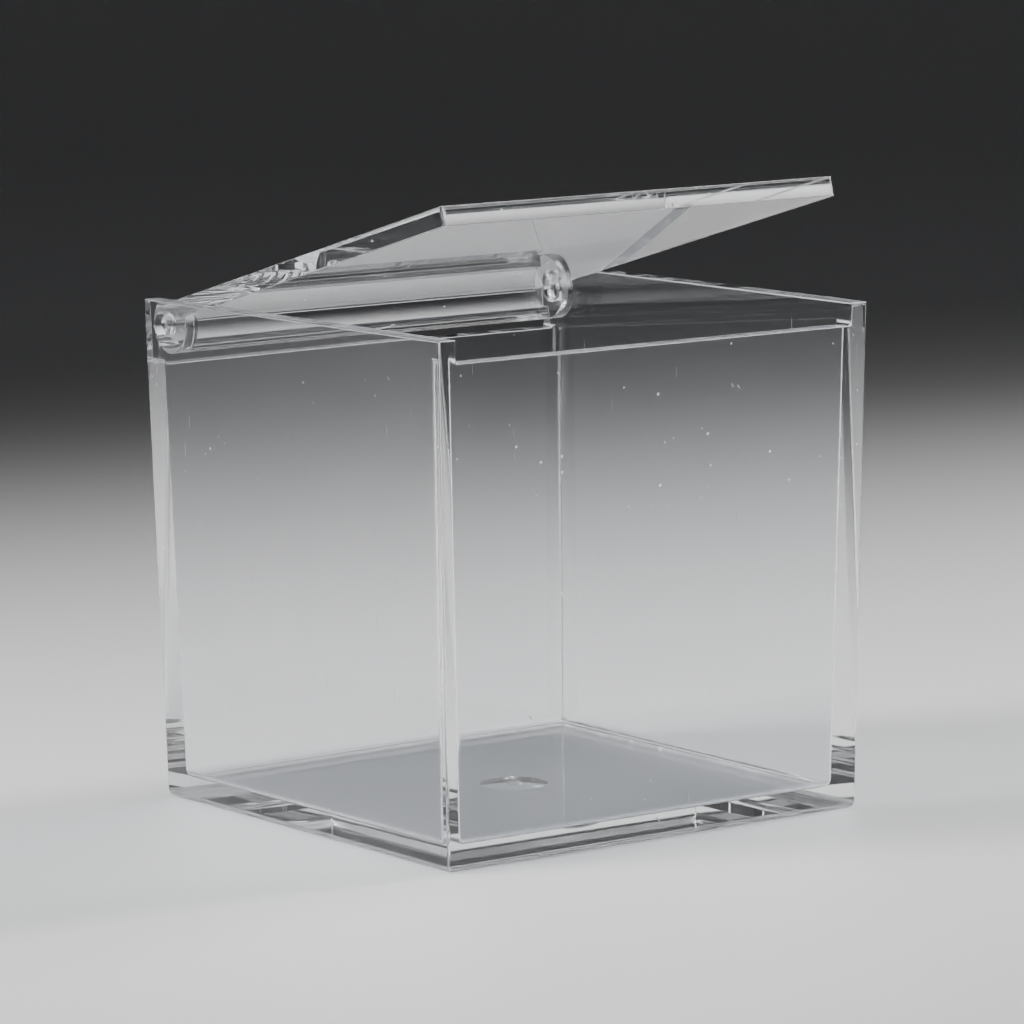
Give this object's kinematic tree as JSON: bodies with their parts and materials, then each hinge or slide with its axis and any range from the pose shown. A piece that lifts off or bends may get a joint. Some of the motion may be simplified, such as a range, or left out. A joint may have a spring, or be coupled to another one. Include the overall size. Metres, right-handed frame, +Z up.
{
  "type": "hinged display box",
  "caption": "Clear cube box with a flat lid on two snap-in side hinges, for keeping guitar picks; stands on its flat base with the lid slightly open.",
  "frame": {"origin": "on the table, under the middle of the box's outer size", "axes": "+Z up, -Y the front where the lid opens, +Y the hinge side, +X along the hinge"},
  "size_m": [0.061, 0.0604, 0.0746],
  "materials": {
    "clear_body": "clear polished injection-moulded polystyrene",
    "clear_lid": "clear polished injection-moulded polystyrene"
  },
  "bodies": {
    "box": {"box_body": "clear_body"},
    "lid": {"lid": "clear_lid"}
  },
  "joints": [
    {"name": "lid_hinge", "type": "hinge", "parent": "box", "child": "lid", "pos_m": [0, 0.02675, 0.05715], "axis": [-1, 0, 0], "range_deg": [-15, 185]}
  ]
}
